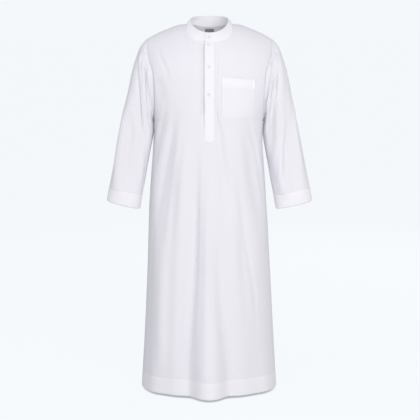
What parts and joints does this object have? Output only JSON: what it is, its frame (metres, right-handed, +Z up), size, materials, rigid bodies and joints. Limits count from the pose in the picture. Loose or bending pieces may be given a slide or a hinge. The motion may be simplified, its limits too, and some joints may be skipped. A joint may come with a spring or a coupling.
{
  "type": "thobe robe",
  "caption": "Long white thobe with stand collar, buttoned placket, chest pocket and long sleeves, worn and hollow.",
  "frame": {"origin": "middle of the neck hole at the height of the shoulder line beside the neck, from which the robe hangs on its wearer", "axes": "+Z up along the wearer, -Y the way the wearer faces, +X towards the wearer's left arm"},
  "size_m": [0.7898, 0.4439, 1.4333],
  "materials": {
    "shirting": "plain woven white shirting, pressed",
    "tape": "white woven tape",
    "label": "dark woven label, plain",
    "button": "white moulded button"
  },
  "bodies": {
    "root": {"front": "shirting", "back": "shirting", "sleeve_right": "shirting", "sleeve_left": "shirting", "collar_stand": "shirting", "placket_upper": "shirting", "placket_under": "shirting", "chest_pocket": "shirting", "pocket_tab": "tape", "neck_label": "label", "button_collar": "button", "button_1": "button", "button_2": "button", "button_3": "button"}
  },
  "joints": []
}
